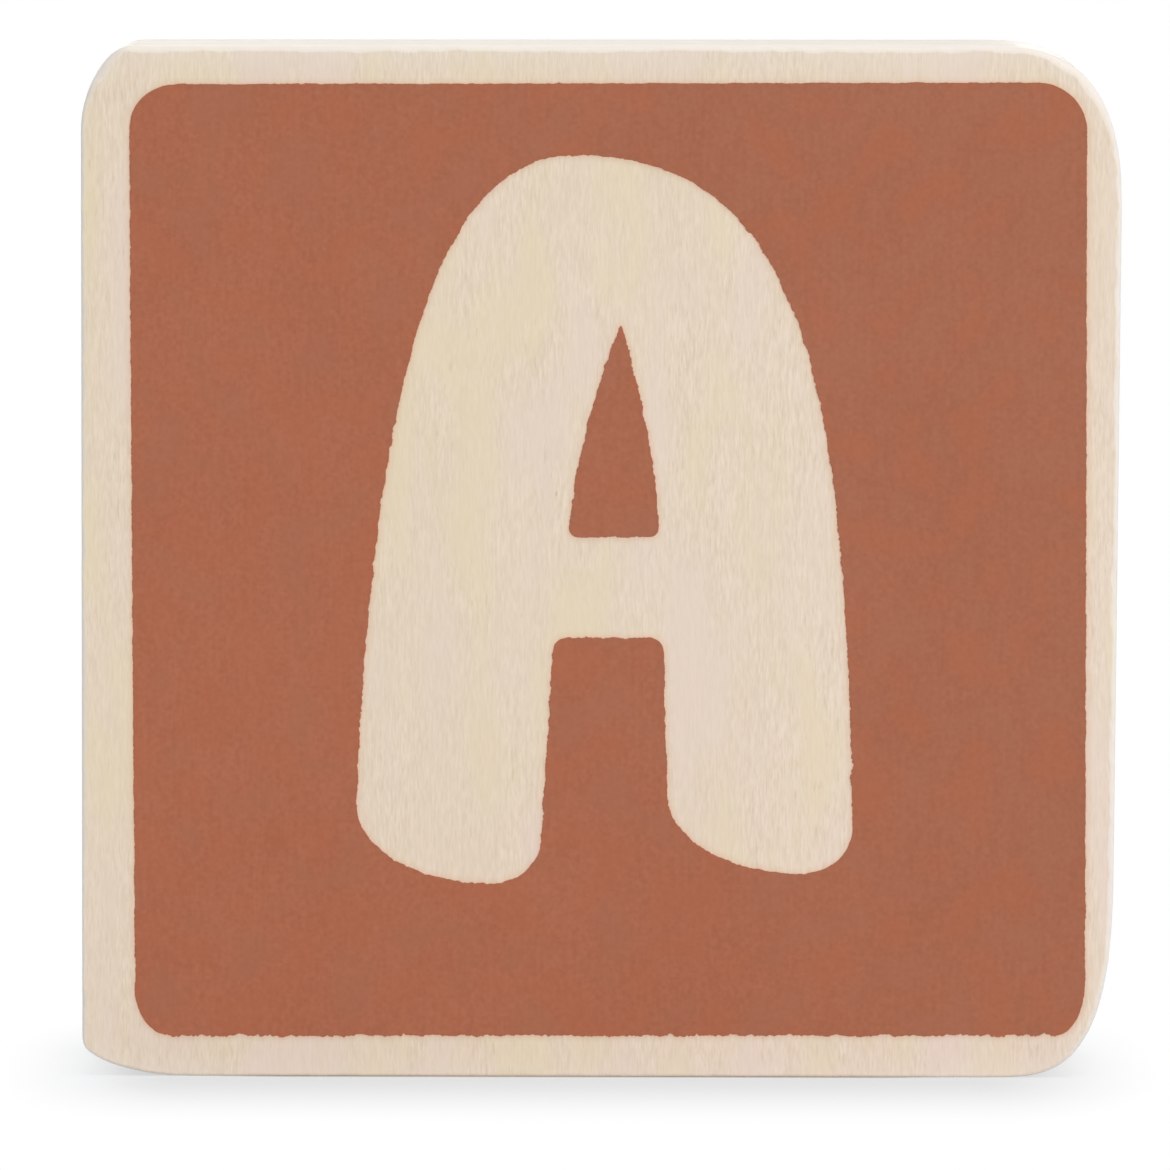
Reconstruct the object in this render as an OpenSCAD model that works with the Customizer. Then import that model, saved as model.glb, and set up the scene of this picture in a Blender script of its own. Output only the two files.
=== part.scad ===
// Letter tile: a square block of plywood that stands on its lower edge, with a printed front.
// X runs across the front, Y from the front (-Y) to the back, Z up. The origin lies on the
// standing surface, under the middle of the block.

/* [Board] */
// Width of the block across its front
tile_w = 70.2; // [60:0.1:120]
// Height of the block
tile_h = 69.8; // [64:0.1:120]
// Thickness of each of the two face veneers
face_ply_t = 1.25; // [0.8:0.05:2.5]
// Thickness of each ply between the face veneers
inner_ply_t = 1.3; // [0.6:0.05:3]
// Number of plies between the face veneers, odd so that both faces have upright grain
inner_plies = 9; // [3:2:13]
// Thickness of the glue film between two plies
glue_t = 0.08; // [0.02:0.01:0.2]
// Round-over of the front and back edges
edge_r = 0.4; // [0.1:0.05:0.7]

/* [Corners] */
// Top left corner: reach across, reach down and fullness, where 2 is an ellipse and more is squarer
corner_tl = [3.1, 5.4, 1.7]; // [1:0.1:24]
// Top right corner: reach across, reach down and fullness
corner_tr = [8.6, 11, 2.6]; // [1:0.1:24]
// Bottom right corner: reach across, reach up and fullness
corner_br = [8.1, 17, 3.2]; // [1:0.1:24]
// Bottom left corner: reach across, reach up and fullness
corner_bl = [7, 2.3, 1.8]; // [1:0.1:24]
// How far the left side is drawn in where it meets the top left corner
left_draw = 0.2; // [0:0.1:1]
// How far the right side is drawn in where it meets the bottom right corner
right_draw = 0.3; // [0:0.1:1]

/* [Print] */
// Bare wood to the left of the printed panel
border_left = 3.55; // [1:0.05:4.5]
// Bare wood to the right of the printed panel
border_right = 2.3; // [1:0.1:4.5]
// Bare wood over the printed panel
border_top = 2.5; // [1:0.1:4]
// Bare wood under the printed panel
border_bottom = 2.8; // [1:0.1:4]
// Top left corner of the panel: reach across and down
panel_tl = [3.2, 2.9]; // [0.5:0.1:8]
// Top right corner of the panel: reach across and down
panel_tr = [3.4, 3.2]; // [0.5:0.1:8]
// Bottom right corner of the panel: reach across and up
panel_br = [2, 3.7]; // [0.5:0.1:8]
// Bottom left corner of the panel: reach across and up
panel_bl = [2.4, 3.2]; // [0.5:0.1:8]
// Turn of the whole print on the face, in degrees
print_turn = 0.14; // [-0.5:0.01:0.5]
// Thickness of the dried ink
ink_t = 0.06; // [0.02:0.01:0.2]

/* [Letter] */
// Height of the letter
letter_h = 49.3; // [42:0.1:51]
// How far the middle of the letter lies to the right of the middle of the panel, and above it
letter_shift = [-0.35, 2.8]; // [-2.5:0.05:3]
// Width of each leg at its foot
leg_w = 12.55; // [10.5:0.05:14]
// Space between the feet
leg_gap = 8.5; // [6.5:0.1:10]
// How far the inner side of the left leg leans to the right on its way up
left_lean = 0.8; // [-0.5:0.1:2]
// How far the inner side of the right leg leans to the left on its way up
right_lean = 0.2; // [-0.5:0.1:2]
// How much higher the right foot ends
foot_lift = 0.65; // [0:0.05:2]
// Long curve on the left of each foot: reach across and up
heel = [9.1, 5.4]; // [2:0.1:9.5]
// Height of the short curve on the right of each foot
toe_h = 3.1; // [1:0.1:5]
// How far the top of the dome lies to the right of the middle of the letter
dome_shift = -1.8; // [-3:0.1:3]
// How far the dome runs level to the left of its top
dome_left = 8.3; // [4:0.1:10]
// How far the dome runs level to the right of its top
dome_right = 15.5; // [8:0.1:16]
// How the left side leaves its foot: lean inwards and upright pull
left_sweep = [1.6, 32.6]; // [0:0.1:36]
// How the right side leaves its foot: lean inwards and upright pull
right_sweep = [0.4, 30]; // [0:0.1:36]
// Height of the fork between the legs over the left foot
fork_h = 16.7; // [12:0.1:18]
// Corner radius of the fork
fork_r = 0.9; // [0.2:0.1:2]
// Thickness of the bar over the fork
bar_t = 6.8; // [4:0.1:8]
// Bare wood between the eye of the letter and the top of the dome
dome_t = 11.35; // [8:0.05:14]
// Width of the eye at its foot
eye_w = 6.1; // [3:0.1:8]
// How far the eye lies to the right of the middle of the fork
eye_shift = 0.4; // [-1.5:0.1:1.5]
// How far the top of the eye leans to the right
eye_lean = 0.5; // [-1.5:0.1:1.5]
// How far the left side of the eye bulges
eye_bulge_left = 1; // [0:0.1:2]
// How far the right side of the eye bulges
eye_bulge_right = 0.8; // [0:0.1:2]
// Radius of the lower corners of the eye
eye_r = 0.6; // [0.1:0.1:1.2]

/* [Hidden] */
// Points on each quarter turn and on each free curve
arc_steps = 12;
curve_steps = 20;
// Rings of the rounded edge of a face veneer
edge_steps = 4;

ply_pitch = inner_ply_t + glue_t;
board_t = 2 * face_ply_t + inner_plies * ply_pitch + glue_t;
front_y = -board_t / 2;
inner_y = front_y + face_ply_t + glue_t;

panel_w = tile_w - border_left - border_right;
panel_h = tile_h - border_top - border_bottom;
panel_mid = [(border_left - border_right) / 2, border_bottom + panel_h / 2];

letter_w = 2 * leg_w + leg_gap;
fork_left = leg_w + left_lean;
fork_right = leg_w + leg_gap - right_lean;
eye_mid = (fork_left + fork_right) / 2 + eye_shift;

face_wood = "#E3D2BD";
cross_wood = "#D6BE9F";
glue_brown = "#A67C52";
ink_red = "#A8684F";

// Crossbands and long-grained plies take turns behind the front veneer
function inner_name(i) = i % 2 == 1 ? str("crossband_", (i + 1) / 2) : str("long_ply_", i / 2);

function signed_power(v, p) = sign(v) * pow(abs(v), p);

// Points of an elliptic arc about a centre, squarer or flatter where its fullness isn't 2
function arc(centre, reach, from, to, fullness = 2) = [
    for (i = [0:arc_steps])
        let (a = from + (to - from) * i / arc_steps)
        centre + [
            reach.x * signed_power(cos(a), 2 / fullness),
            reach.y * signed_power(sin(a), 2 / fullness)
        ]
];

// Points of a cubic curve between a and d, pulled towards b and c
function curve(a, b, c, d) = [
    for (i = [0:curve_steps])
        let (t = i / curve_steps, u = 1 - t)
        u * u * u * a + 3 * u * u * t * b + 3 * u * t * t * c + t * t * t * d
];

// One rounded corner of the block, made smaller by an inset; side is -1 or 1 and so is level
function tile_corner(corner, side, level, from, inset, draw = 0) = arc(
    [side * (tile_w / 2 - draw - corner.x), level > 0 ? tile_h - corner.y : corner.y],
    [corner.x - inset, corner.y - inset],
    from,
    from + 90,
    corner.z
);

// Outline of the block seen from the front, anticlockwise
function tile_outline(inset = 0) = concat(
    tile_corner(corner_tr, 1, 1, 0, inset),
    tile_corner(corner_tl, -1, 1, 90, inset, left_draw),
    tile_corner(corner_bl, -1, -1, 180, inset),
    tile_corner(corner_br, 1, -1, 270, inset, right_draw)
);

// One rounded corner of the panel; side is -1 or 1 and so is level
function panel_corner(reach, side, level, from) = arc(
    [side * (panel_w / 2 - reach.x), level * (panel_h / 2 - reach.y)],
    reach,
    from,
    from + 90
);

// Outline of the printed panel about its own middle, anticlockwise
function panel_outline() = concat(
    panel_corner(panel_tr, 1, 1, 0),
    panel_corner(panel_tl, -1, 1, 90),
    panel_corner(panel_bl, -1, -1, 180),
    panel_corner(panel_br, 1, -1, 270)
);

// Underside of a foot from its right side to its left; x and z are its lower left
function foot(x, z) = concat(
    arc([x + heel.x, z + toe_h], [leg_w - heel.x, toe_h], 0, -90),
    arc([x + heel.x, z + heel.y], heel, -90, -180)
);

// Outline of the letter from its lower left: left side, dome, right side, feet and fork
function letter_outline() =
    let (
        top = [letter_w / 2 + dome_shift, letter_h],
        left = [0, heel.y],
        right = [letter_w, foot_lift + toe_h],
        corner = [fork_r, fork_r],
        corner_z = fork_h - fork_r
    )
    concat(
        curve(left, left + left_sweep, top - [dome_left, 0], top),
        curve(top, top + [dome_right, 0], right + [-right_sweep.x, right_sweep.y], right),
        foot(leg_w + leg_gap, foot_lift),
        arc([fork_right - fork_r, corner_z], corner, 0, 90),
        arc([fork_left + fork_r, corner_z], corner, 90, 180),
        foot(0, 0)
    );

// Outline of the eye of the letter, a tall triangle with bulging sides
function eye_outline() =
    let (
        foot_z = fork_h + bar_t,
        left = [eye_mid - eye_w / 2, foot_z + eye_r],
        right = [eye_mid + eye_w / 2, foot_z + eye_r],
        top = [eye_mid + eye_lean, letter_h - dome_t],
        left_pull = (left + top) / 2 - [eye_bulge_left, 0],
        right_pull = (right + top) / 2 + [eye_bulge_right, 0],
        corner = [eye_r, eye_r]
    )
    concat(
        curve(right, (right + 2 * right_pull) / 3, (top + 2 * right_pull) / 3, top),
        curve(top, (top + 2 * left_pull) / 3, (left + 2 * left_pull) / 3, left),
        arc(left + [eye_r, 0], corner, 180, 270),
        arc(right - [eye_r, 0], corner, 270, 360)
    );

// Upright slab of a flat shape, from y backwards
module slab(y, t) {
    translate([0, y + t, 0])
        rotate([90, 0, 0])
            linear_extrude(t)
                children();
}

// Places a flat shape that is drawn about the middle of the panel
module on_panel() {
    translate(panel_mid)
        rotate(print_turn)
            children();
}

// Places a flat shape that is drawn from the lower left of the letter
module on_letter() {
    on_panel()
        translate(letter_shift - [letter_w, letter_h] / 2)
            children();
}

// Solid through a stack of rings with equal numbers of points, front ring first
module ring_stack(rings) {
    n = len(rings[0]);
    last = len(rings) - 1;
    sides = [
        for (k = [0:last - 1], i = [0:n - 1])
            let (j = (i + 1) % n, a = k * n)
            each [[a + i, a + j, a + n + j], [a + i, a + n + j, a + n + i]]
    ];
    front = [for (i = [n - 1:-1:0]) i];
    back = [for (i = [0:n - 1]) last * n + i];
    polyhedron([for (ring = rings) each ring], concat([front], sides, [back]));
}

// Face veneer that starts at y = 0, with the edge there rounded over
module face_veneer() {
    rounded = [
        for (i = [0:edge_steps])
            let (a = 90 * i / edge_steps)
            [edge_r * (1 - sin(a)), edge_r * (1 - cos(a))]
    ];
    profile = concat(rounded, [[0, face_ply_t]]);
    ring_stack([for (p = profile) [for (q = tile_outline(p[0])) [q.x, p[1], q.y]]]);
}

module front_veneer() {
    color(face_wood)
        translate([0, front_y, 0])
            face_veneer();
}

module back_veneer() {
    color(face_wood)
        translate([0, front_y + board_t, 0])
            mirror([0, 1, 0])
                face_veneer();
}

module inner_ply(i) {
    color(i % 2 == 1 ? cross_wood : face_wood)
        slab(inner_y + (i - 1) * ply_pitch, inner_ply_t)
            polygon(tile_outline());
}

module glue_films() {
    color(glue_brown)
        for (i = [0:inner_plies])
            slab(inner_y - glue_t + i * ply_pitch, glue_t)
                polygon(tile_outline());
}

// The panel stays on the flat of the face, inside the rounded edge
module ink_panel() {
    color(ink_red)
        slab(front_y - ink_t, ink_t)
            difference() {
                intersection() {
                    on_panel()
                        polygon(panel_outline());
                    polygon(tile_outline(edge_r));
                }
                on_letter()
                    polygon(letter_outline());
            }
}

module ink_eye() {
    color(ink_red)
        slab(front_y - ink_t, ink_t)
            on_letter()
                polygon(eye_outline());
}

front_veneer();
for (i = [1:inner_plies]) {
    inner_ply(i);
}
back_veneer();
glue_films();
ink_panel();
ink_eye();
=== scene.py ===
"""Dresses the letter tile: sanded plywood, its glue lines and a screen-printed front, in a white studio."""

import logging
import math
from collections.abc import Mapping, Sequence
from dataclasses import dataclass
from enum import Enum

import bmesh
import bpy
import numpy as np
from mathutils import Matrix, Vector, noise


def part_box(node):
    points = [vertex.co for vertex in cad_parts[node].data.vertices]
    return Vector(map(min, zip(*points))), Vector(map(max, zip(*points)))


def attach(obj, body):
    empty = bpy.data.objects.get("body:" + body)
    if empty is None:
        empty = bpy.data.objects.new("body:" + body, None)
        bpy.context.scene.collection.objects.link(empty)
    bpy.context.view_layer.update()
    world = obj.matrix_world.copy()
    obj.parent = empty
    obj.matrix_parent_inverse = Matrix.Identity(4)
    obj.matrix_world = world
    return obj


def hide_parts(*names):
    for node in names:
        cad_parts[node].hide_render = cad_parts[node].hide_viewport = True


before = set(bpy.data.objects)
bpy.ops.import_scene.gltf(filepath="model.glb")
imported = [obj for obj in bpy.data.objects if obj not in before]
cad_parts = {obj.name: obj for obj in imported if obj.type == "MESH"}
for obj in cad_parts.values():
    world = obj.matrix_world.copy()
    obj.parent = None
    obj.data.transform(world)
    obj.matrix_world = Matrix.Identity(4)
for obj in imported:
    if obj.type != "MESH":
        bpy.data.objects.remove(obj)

LOG = logging.getLogger("letter_tile")
MM = 0.001
BODY = "root"
# Points of the CAD solids closer than this are one point
WELD = 0.0005 * MM
# Edges that turn by more than this stay crisp
CRISP = math.radians(50.0)
# Noise from 0 to 1 swings about this value
MIDDLE = 0.5

Triple = tuple[float, float, float]
Colour = Triple
# Where something starts and where it ends
Window = tuple[float, float]


class Socket:
    """Output of a node that takes part in Python arithmetic; each operator adds a Math node."""

    def __init__(self, graph: "Graph", raw: bpy.types.NodeSocket) -> None:
        """Wraps one output socket of a graph."""
        self.graph = graph
        self.raw = raw

    def math(self, operation: str, *feeds: "Feed") -> "Socket":
        """A Math node on this socket and further values."""
        return self.graph.math(operation, self, *feeds)

    def swing(self, weight: "Feed") -> "Socket":
        """How far a noise lies from its middle, times a weight."""
        return (self - MIDDLE) * weight

    def __add__(self, other: "Feed") -> "Socket":
        """Sum with a value or socket."""
        return self.math("ADD", other)

    def __radd__(self, other: "Feed") -> "Socket":
        """Sum with a value on the left."""
        return self.graph.math("ADD", other, self)

    def __sub__(self, other: "Feed") -> "Socket":
        """Difference from a value or socket."""
        return self.math("SUBTRACT", other)

    def __rsub__(self, other: "Feed") -> "Socket":
        """Difference of a value on the left."""
        return self.graph.math("SUBTRACT", other, self)

    def __mul__(self, other: "Feed") -> "Socket":
        """Product with a value or socket."""
        return self.math("MULTIPLY", other)

    def __rmul__(self, other: "Feed") -> "Socket":
        """Product with a value on the left."""
        return self.graph.math("MULTIPLY", other, self)


Feed = Socket | bpy.types.ID | float | Sequence[float]


class Outputs:
    """The outputs of a node that was just added."""

    def __init__(self, graph: "Graph", node: bpy.types.Node) -> None:
        """Keeps the node and its graph."""
        self.graph = graph
        self.node = node

    def __getitem__(self, key: str | int) -> Socket:
        """One output, by its name or number."""
        return Socket(self.graph, Graph.find(self.node.outputs, key))


class Graph:
    """A node tree that is written as calls and expressions."""

    def __init__(self, tree: bpy.types.NodeTree) -> None:
        """Takes an empty node tree."""
        self.tree = tree

    @staticmethod
    def find(sockets: bpy.types.bpy_prop_collection, key: str | int) -> bpy.types.NodeSocket:
        """Finds a socket in use by its number or name.

        Args:
            sockets: The inputs or outputs of a node.
            key: The socket's number, or its name.

        Returns:
            The socket.
        """
        if isinstance(key, int):
            return sockets[key]
        return next(socket for socket in sockets if socket.name == key and socket.enabled)

    def add(
        self,
        kind: str,
        settings: Mapping[str, object] | None = None,
        feeds: Mapping[str | int, Feed] | None = None,
    ) -> Outputs:
        """Adds one node.

        Args:
            kind: Blender's name for the type of node.
            settings: Properties of the node, which are set first.
            feeds: Values or links of its input sockets, by name or number.

        Returns:
            The outputs of the node.
        """
        node = self.tree.nodes.new(kind)
        for name, value in (settings or {}).items():
            setattr(node, name, value)
        for key, feed in (feeds or {}).items():
            socket = self.find(node.inputs, key)
            if isinstance(feed, Socket):
                self.tree.links.new(feed.raw, socket)
            else:
                socket.default_value = feed
        return Outputs(self, node)

    def math(self, operation: str, *feeds: Feed) -> Socket:
        """A Math node on values and sockets."""
        return self.add("ShaderNodeMath", {"operation": operation}, dict(enumerate(feeds)))["Value"]

    def vector(self, operation: str, *feeds: Feed) -> Socket:
        """A Vector Math node on vectors and sockets."""
        return self.add("ShaderNodeVectorMath", {"operation": operation}, dict(enumerate(feeds)))["Vector"]

    def dot(self, vector: Feed, other: Feed) -> Socket:
        """The dot product of two vectors."""
        feeds = {0: vector, 1: other}
        return self.add("ShaderNodeVectorMath", {"operation": "DOT_PRODUCT"}, feeds)["Value"]

    def scaled(self, vector: Feed, factor: Feed) -> Socket:
        """A vector times a number."""
        feeds = {"Vector": vector, "Scale": factor}
        return self.add("ShaderNodeVectorMath", {"operation": "SCALE"}, feeds)["Vector"]

    def fade(self, value: Socket, window: Window) -> Socket:
        """Smooth step from 0 where the window starts to 1 where it ends."""
        feeds = {"Value": value, "From Min": window[0], "From Max": window[1]}
        return self.add("ShaderNodeMapRange", {"interpolation_type": "SMOOTHSTEP"}, feeds)[0]

    def mix(self, factor: Socket, colour: Feed, other: Feed, blend: str = "MIX") -> Socket:
        """Blends two colours.

        Args:
            factor: 0 keeps the first colour; 1 gives all of the blend.
            colour: The first colour.
            other: The colour blended with it.
            blend: How the Mix node blends them.

        Returns:
            The blended colour.
        """
        feeds = {"Factor": factor, "A": self.opaque(colour), "B": self.opaque(other)}
        return self.add("ShaderNodeMix", {"data_type": "RGBA", "blend_type": blend}, feeds)["Result"]

    @staticmethod
    def opaque(colour: Feed) -> Feed:
        """A written colour with its alpha; a socket stays as it is."""
        return colour if isinstance(colour, Socket) else (*colour, 1.0)

    def attribute(self, name: str) -> Socket:
        """A number that the mesh keeps at its points, or 0 where it has none."""
        return self.add("ShaderNodeAttribute", {"attribute_name": name})["Fac"]

    def bump(self, height: Socket, strength: float, relief: float) -> Socket:
        """The normal of a surface that a height of 0 to 1 raises by the relief."""
        feeds = {"Height": height, "Strength": strength, "Distance": relief}
        return self.add("ShaderNodeBump", None, feeds)["Normal"]

    def seen(self) -> Socket:
        """Tells the rays that bring a surface into view from those that only light others.

        Returns:
            1 on rays that come straight from the camera, by a mirror or through glass, and otherwise 0.
        """
        rays = self.add("ShaderNodeLightPath")
        seen = rays["Is Camera Ray"].math("MAXIMUM", rays["Is Glossy Ray"])
        return seen.math("MAXIMUM", rays["Is Transmission Ray"])

    def surface(self, feeds: Mapping[str, Feed]) -> None:
        """Ends a material with one Principled surface, described by the feeds of its sockets."""
        surface = self.add("ShaderNodeBsdfPrincipled", None, feeds)["BSDF"]
        self.add("ShaderNodeOutputMaterial", None, {"Surface": surface})


class Grain(Enum):
    """Which way the fibres of a ply run, as shares of the frame's axes."""

    UP = (0.0, 0.0, 1.0)
    ACROSS = (1.0, 0.0, 0.0)


@dataclass(frozen=True)
class Layer:
    """A layer of noise: its cells across and along the grain, its weight and its finer layers."""

    width: float
    length: float
    # Sets the layer apart from the others
    shift: float
    weight: float
    detail: float = 2.0

    def _cells(self, g: Graph, place: Socket, grain: Grain) -> Socket:
        """A place in metres, counted in cells of the layer."""
        counts = [share / self.length + (1.0 - share) / self.width for share in grain.value]
        return g.vector("MULTIPLY_ADD", place, counts, [self.shift] * 3)

    def noise(self, g: Graph, place: Socket, grain: Grain) -> Socket:
        """Soft noise from 0 to 1."""
        feeds = {"Vector": self._cells(g, place, grain), "Scale": 1.0, "Detail": self.detail}
        return g.add("ShaderNodeTexNoise", None, feeds)[0]

    def spread(self, g: Graph, place: Socket, grain: Grain) -> Socket:
        """Distance from scattered points, in cells."""
        feeds = {"Vector": self._cells(g, place, grain), "Scale": 1.0}
        return g.add("ShaderNodeTexVoronoi", None, feeds)["Distance"]


@dataclass(frozen=True)
class Finish:
    """The looks of a surface, with its patterns on object coordinates."""

    name: str

    def material(self) -> bpy.types.Material:
        """Builds the material.

        Returns:
            The material.
        """
        material = bpy.data.materials.new(self.name)
        material.use_nodes = True
        material.node_tree.nodes.clear()
        self.paint(Graph(material.node_tree))
        return material

    def paint(self, g: Graph) -> None:
        """Fills the empty graph of the material."""
        raise NotImplementedError


@dataclass(frozen=True)
class WoodFinish(Finish):
    """Pale, sanded wood with fine fibres, short pores, slow changes of tone and painted light and highlight.
    """

    grain: Grain
    pale: Colour = (0.821, 0.686, 0.549)
    deep: Colour = (0.702, 0.569, 0.421)
    blush: Colour = (0.775, 0.627, 0.533)
    honey: Colour = (0.770, 0.646, 0.438)
    pore: Colour = (0.560, 0.423, 0.292)
    end: Colour = (0.700, 0.571, 0.428)
    # Painted light: the wood is multiplied lighter towards the right and the bottom
    painted_light: Colour = (1.040, 1.028, 1.068)
    # Pale of the sanded round edges, which also gives their painted highlight
    sanded: Colour = (0.868, 0.820, 0.775)
    stain: Colour = (0.745, 0.430, 0.265)
    fibres: Layer = Layer(0.12 * MM, 0.80 * MM, shift=3.1, weight=1.2, detail=1.0)
    streaks: Layer = Layer(0.20 * MM, 4.0 * MM, shift=11.7, weight=0.6)
    bands: Layer = Layer(3.0 * MM, 30.0 * MM, shift=23.9, weight=0.25)
    tints: Layer = Layer(4.2 * MM, 15.0 * MM, shift=37.3, weight=0.62)
    crowds: Layer = Layer(3.0 * MM, 9.0 * MM, shift=41.9, weight=0.7)
    pores: Layer = Layer(0.22 * MM, 1.5 * MM, shift=53.3, weight=0.35)
    specks: Layer = Layer(4.5 * MM, 9.0 * MM, shift=67.1, weight=0.6)
    # Values of the noise between which each mark comes in
    blush_window: Window = (0.50, 0.70)
    honey_window: Window = (0.50, 0.30)
    crowd_window: Window = (0.35, 0.65)
    pore_window: Window = (0.62, 0.74)
    speck_window: Window = (0.035, 0.014)
    painted_light_way: Triple = (1.0, 0.0, -1.0)
    painted_light_window: Window = (-65.0 * MM, 30.0 * MM)
    end_window: Window = (0.55, 0.95)
    end_weight: float = 0.45
    end_fibres: float = 0.4
    sanded_weight: float = 0.85
    stain_weight: float = 0.37
    pore_depth: float = 0.6
    relief: float = 0.012 * MM
    relief_strength: float = 0.35
    roughness: float = 0.66
    roughness_swing: float = 0.2
    gloss: float = 0.25
    sheen: float = 0.28
    sheen_roughness: float = 0.35

    def paint(self, g: Graph) -> None:
        """Fills the graph with the wood's patterns and surface.

        Args:
            g: The empty graph of the material.
        """
        coordinates = g.add("ShaderNodeTexCoord")
        place, grain = coordinates["Object"], self.grain
        fibre = self.fibres.noise(g, place, grain)
        streak = self.streaks.noise(g, place, grain)
        band = self.bands.noise(g, place, grain)
        tint = self.tints.noise(g, place, grain)
        crowd = g.fade(self.crowds.noise(g, place, grain), self.crowd_window)
        pores = g.fade(self.pores.noise(g, place, grain), self.pore_window) * crowd
        specks = g.fade(self.specks.spread(g, place, grain), self.speck_window)
        tone = MIDDLE + fibre.swing(self.fibres.weight + crowd * self.crowds.weight)
        tone = tone + streak.swing(self.streaks.weight) + band.swing(self.bands.weight)
        painted_light = g.fade(g.dot(place, self.painted_light_way), self.painted_light_window)
        facing = g.dot(coordinates["Normal"], grain.value)
        end = g.fade(facing.math("ABSOLUTE"), self.end_window)
        colour = g.mix(tone, self.deep, self.pale)
        colour = g.mix(g.fade(tint, self.blush_window) * self.tints.weight, colour, self.blush)
        colour = g.mix(g.fade(tint, self.honey_window) * self.tints.weight, colour, self.honey)
        # Painted light: lighter towards the right and the bottom
        colour = g.mix(painted_light, colour, self.painted_light, "MULTIPLY")
        colour = g.mix(pores * self.pores.weight, colour, self.pore)
        colour = g.mix(specks * self.specks.weight, colour, self.pore)
        colour = g.mix(end * (self.end_weight + fibre * self.end_fibres), colour, self.end)
        # Sanded pale on the round edges, with painted highlight reaching in from the top, bottom and right
        # edges and less pale on the bottom edge as painted shade
        colour = g.mix(g.attribute("sanded") * self.sanded_weight, colour, self.sanded)
        colour = g.mix(g.attribute("bleed") * self.stain_weight, colour, self.stain)
        g.surface({
            "Base Color": colour,
            "Roughness": self.roughness + fibre.swing(self.roughness_swing),
            "Specular IOR Level": self.gloss,
            "Sheen Weight": self.sheen,
            "Sheen Roughness": self.sheen_roughness,
            "Normal": g.bump(fibre - pores * self.pore_depth, self.relief_strength, self.relief),
        })


@dataclass(frozen=True)
class PlyEdgeFinish(WoodFinish):
    """The greyer, smoother wood of the inner plies, which show only their sanded edges."""

    pale: Colour = (0.765, 0.700, 0.610)
    deep: Colour = (0.670, 0.597, 0.492)
    end: Colour = (0.605, 0.510, 0.405)
    roughness: float = 0.40
    gloss: float = 0.45
    sheen: float = 0.38


@dataclass(frozen=True)
class GlueFinish(Finish):
    """Cured glue, thinly filmed over by fibres where it was sanded."""

    brown: Colour = (0.440, 0.300, 0.180)
    dusty: Colour = (0.640, 0.520, 0.390)
    dust: Layer = Layer(1.3 * MM, 1.3 * MM, shift=5.3, weight=0.3, detail=4.0)
    dust_window: Window = (0.35, 0.70)
    roughness: float = 0.45
    gloss: float = 0.3

    def paint(self, g: Graph) -> None:
        """Fills the graph with the glue's patterns and surface."""
        dust = self.dust.noise(g, g.add("ShaderNodeTexCoord")["Object"], Grain.UP)
        g.surface({
            "Base Color": g.mix(g.fade(dust, self.dust_window), self.brown, self.dusty),
            "Roughness": self.roughness + dust * self.dust.weight,
            "Specular IOR Level": self.gloss,
        })


@dataclass(frozen=True)
class InkFinish(Finish):
    """Matte screen-printing ink that lets a little of the upright grain show."""

    thin: Colour = (0.424, 0.141, 0.0730)
    thick: Colour = (0.362, 0.110, 0.0533)
    rosy: Colour = (0.368, 0.132, 0.0750)
    rusty: Colour = (0.420, 0.1210, 0.0543)
    # Multiplied in towards the upper right, where the ink is darker and less red
    slant_tone: Colour = (0.920, 0.968, 0.990)
    mottles: Layer = Layer(0.30 * MM, 0.30 * MM, shift=2.7, weight=1.65, detail=1.0)
    clouds: Layer = Layer(9.0 * MM, 9.0 * MM, shift=8.9, weight=0.6)
    fibres: Layer = Layer(0.30 * MM, 3.0 * MM, shift=13.1, weight=0.7)
    tints: Layer = Layer(3.0 * MM, 3.0 * MM, shift=19.3, weight=0.38, detail=0.6)
    rosy_window: Window = (0.50, 0.72)
    rusty_window: Window = (0.50, 0.28)
    slant: Triple = (1.0, 0.0, 0.6)
    slant_window: Window = (-13.0 * MM, 55.0 * MM)
    relief: float = 0.008 * MM
    relief_strength: float = 0.3
    roughness: float = 0.62
    roughness_swing: float = 0.2
    gloss: float = 0.2

    def paint(self, g: Graph) -> None:
        """Fills the graph with the ink's patterns and surface.

        Args:
            g: The empty graph of the material.
        """
        place, grain = g.add("ShaderNodeTexCoord")["Object"], Grain.UP
        mottle = self.mottles.noise(g, place, grain)
        cloud = self.clouds.noise(g, place, grain)
        fibre = self.fibres.noise(g, place, grain)
        tint = self.tints.noise(g, place, grain)
        tone = MIDDLE + mottle.swing(self.mottles.weight)
        tone = tone + fibre.swing(self.fibres.weight) + cloud.swing(self.clouds.weight)
        along = g.fade(g.dot(place, self.slant), self.slant_window)
        colour = g.mix(tone, self.thick, self.thin)
        # Darker and less red towards the upper right
        colour = g.mix(along, colour, self.slant_tone, "MULTIPLY")
        colour = g.mix(g.fade(tint, self.rosy_window) * self.tints.weight, colour, self.rosy)
        colour = g.mix(g.fade(tint, self.rusty_window) * self.tints.weight, colour, self.rusty)
        g.surface({
            "Base Color": colour,
            "Roughness": self.roughness + mottle.swing(self.roughness_swing),
            "Specular IOR Level": self.gloss,
            "Normal": g.bump(mottle + fibre, self.relief_strength, self.relief),
        })


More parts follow.
